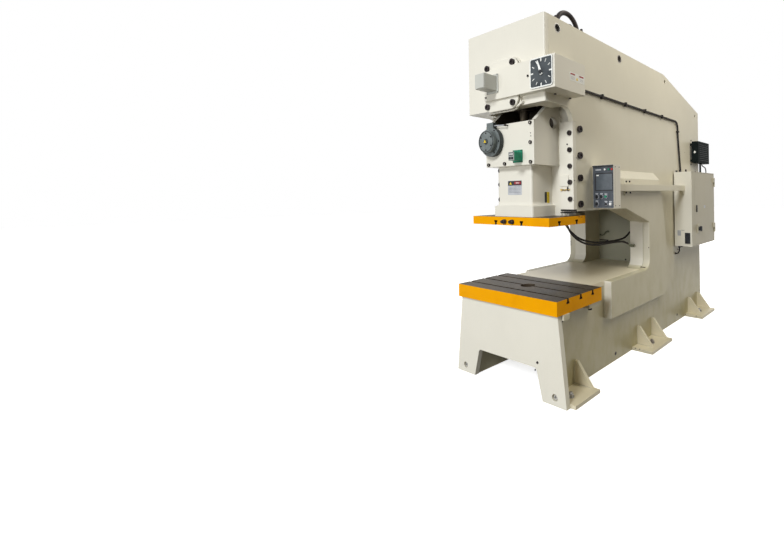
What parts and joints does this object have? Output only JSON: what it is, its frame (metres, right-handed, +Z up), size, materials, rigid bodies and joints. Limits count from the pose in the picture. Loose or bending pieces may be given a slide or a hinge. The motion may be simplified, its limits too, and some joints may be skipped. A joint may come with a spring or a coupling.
{
  "type": "mechanical stamping press",
  "caption": "Deep-throat C-frame stamping press: crank-driven slide over a slotted bolster, welded cream frame, cabinet and control pendant.",
  "frame": {"origin": "on the floor, at the middle of the four corner anchor holes", "axes": "+Z up, +Y towards the rear along the frame, +X towards the side with the cabinet"},
  "size_m": [1.432, 3.532, 3.211],
  "materials": {
    "frame_paint": "cream machine enamel, lightly textured",
    "front_paint": "off-white machine enamel, lightly textured",
    "yellow_paint": "orange-yellow enamel with worn steel faces",
    "worn_steel": "oiled machined steel and iron",
    "black_steel": "blackened steel",
    "dark_grey_paint": "dark slate grey enamel",
    "black_plastic": "moulded black plastic",
    "dial_plate": "dark slate dial plate",
    "pointer_white": "white enamel",
    "green_plastic": "green moulded plastic",
    "white_plastic": "white moulded plastic",
    "rubber_black": "black rubber",
    "gear_plastic": "grey moulded switchgear"
  },
  "bodies": {
    "frame": {"side_plate_right": "frame_paint", "side_plate_left": "frame_paint", "stiffener_right": "frame_paint", "stiffener_left": "frame_paint", "crown_front_plate": "front_paint", "crown_bottom_plate": "frame_paint", "roof_plate": "frame_paint", "rear_plate": "frame_paint", "rear_cover": "frame_paint", "front_bearing_wall": "frame_paint", "rear_bearing_wall": "frame_paint", "jaw_plate": "frame_paint", "throat_column": "frame_paint", "throat_floor": "frame_paint", "bed_plate": "frame_paint", "front_leg_plate": "front_paint", "front_feet": "frame_paint", "middle_feet": "frame_paint", "rear_feet": "frame_paint", "bolster": "yellow_paint", "frame_bolts": "black_steel", "gib_right": "front_paint", "gib_left": "front_paint", "crank_flange": "front_paint", "front_cover": "front_paint", "dial_face": "dial_plate", "terminal_box": "front_paint", "cabinet": "front_paint", "control_gear": "gear_plastic", "cabinet_fittings": "black_plastic", "resistor_box": "black_steel", "pendant_arm": "frame_paint", "pendant_case": "front_paint", "side_cable": "rubber_black", "main_motor": "dark_grey_paint", "v_belts": "rubber_black", "motor_shelf": "frame_paint", "air_pipe": "black_steel", "hose_upper": "rubber_black", "hose_lower": "rubber_black"},
    "crank": {"crankshaft": "worn_steel", "main_gear": "worn_steel"},
    "rod": {"connecting_rod": "worn_steel"},
    "slide": {"slide_casting": "front_paint", "slide_cover": "front_paint", "slide_plate": "yellow_paint", "gearmotor": "dark_grey_paint", "height_counter": "green_plastic"},
    "drive_shaft": {"pinion_shaft": "worn_steel", "flywheel": "worn_steel"},
    "motor_rotor": {"motor_pulley": "worn_steel"},
    "dial_hand": {"dial_pointer": "pointer_white"},
    "door": {"cabinet_door": "front_paint"},
    "isolator": {"isolator_handle": "black_plastic"},
    "selector_a": {"selector_left": "black_plastic"},
    "selector_b": {"selector_middle": "black_plastic"},
    "selector_c": {"selector_lower": "black_plastic"},
    "push_green": {"button_green": "green_plastic"},
    "push_black": {"button_black": "black_plastic"},
    "push_white": {"button_white": "white_plastic"}
  },
  "joints": [
    {"name": "crank_spin", "type": "hinge", "parent": "frame", "child": "crank", "pos_m": [0, -1.236, 2.5], "axis": [0, 1, 0], "continuous": true},
    {"name": "rod_swing", "type": "hinge", "parent": "crank", "child": "rod", "pos_m": [-0.02736, -1.236, 2.57518], "axis": [0, 1, 0], "continuous": true},
    {"name": "drive_shaft_spin", "type": "hinge", "parent": "frame", "child": "drive_shaft", "pos_m": [0, -0.605, 2.164], "axis": [0, 1, 0], "continuous": true},
    {"name": "motor_spin", "type": "hinge", "parent": "frame", "child": "motor_rotor", "pos_m": [-0.06, -0.205, 2.787], "axis": [0, 1, 0], "continuous": true},
    {"name": "dial_spin", "type": "hinge", "parent": "frame", "child": "dial_hand", "pos_m": [0.4745, -1.565, 2.5145], "axis": [0, 1, 0], "continuous": true},
    {"name": "slide_ram", "type": "slide", "parent": "frame", "child": "slide", "axis": [0, 0, 1], "range_m": [-0.15518, 0.00482], "deforming": ["hose_upper", "hose_lower"]},
    {"name": "door_swing", "type": "hinge", "parent": "frame", "child": "door", "pos_m": [0.7, 1.651, 1.4], "axis": [0, 0, 1], "range_deg": [0, 110]},
    {"name": "isolator_turn", "type": "hinge", "parent": "door", "child": "isolator", "pos_m": [0.704, 1.055, 1.15], "axis": [1, 0, 0], "range_deg": [0, 90]},
    {"name": "selector_a_turn", "type": "hinge", "parent": "frame", "child": "selector_a", "pos_m": [0.5125, -0.902, 1.57], "axis": [0, 1, 0], "range_deg": [-45, 45]},
    {"name": "selector_b_turn", "type": "hinge", "parent": "frame", "child": "selector_b", "pos_m": [0.5595, -0.902, 1.57], "axis": [0, 1, 0], "range_deg": [-45, 45]},
    {"name": "selector_c_turn", "type": "hinge", "parent": "frame", "child": "selector_c", "pos_m": [0.5125, -0.902, 1.506], "axis": [0, 1, 0], "range_deg": [-45, 45]},
    {"name": "green_press", "type": "slide", "parent": "frame", "child": "push_green", "axis": [0, 1, 0], "range_m": [0, 0.005], "stiffness_N_per_m": 400},
    {"name": "black_press", "type": "slide", "parent": "frame", "child": "push_black", "axis": [0, 1, 0], "range_m": [0, 0.005], "stiffness_N_per_m": 400},
    {"name": "white_press", "type": "slide", "parent": "frame", "child": "push_white", "axis": [0, 1, 0], "range_m": [0, 0.005], "stiffness_N_per_m": 400}
  ],
  "couplings": [
    {"joint": "crank_spin", "follows": "drive_shaft_spin", "ratio": -0.2},
    {"joint": "rod_swing", "follows": "drive_shaft_spin", "ratio": 0.2},
    {"joint": "motor_spin", "follows": "drive_shaft_spin", "ratio": 4.625},
    {"joint": "dial_spin", "follows": "drive_shaft_spin", "ratio": -0.2}
  ]
}
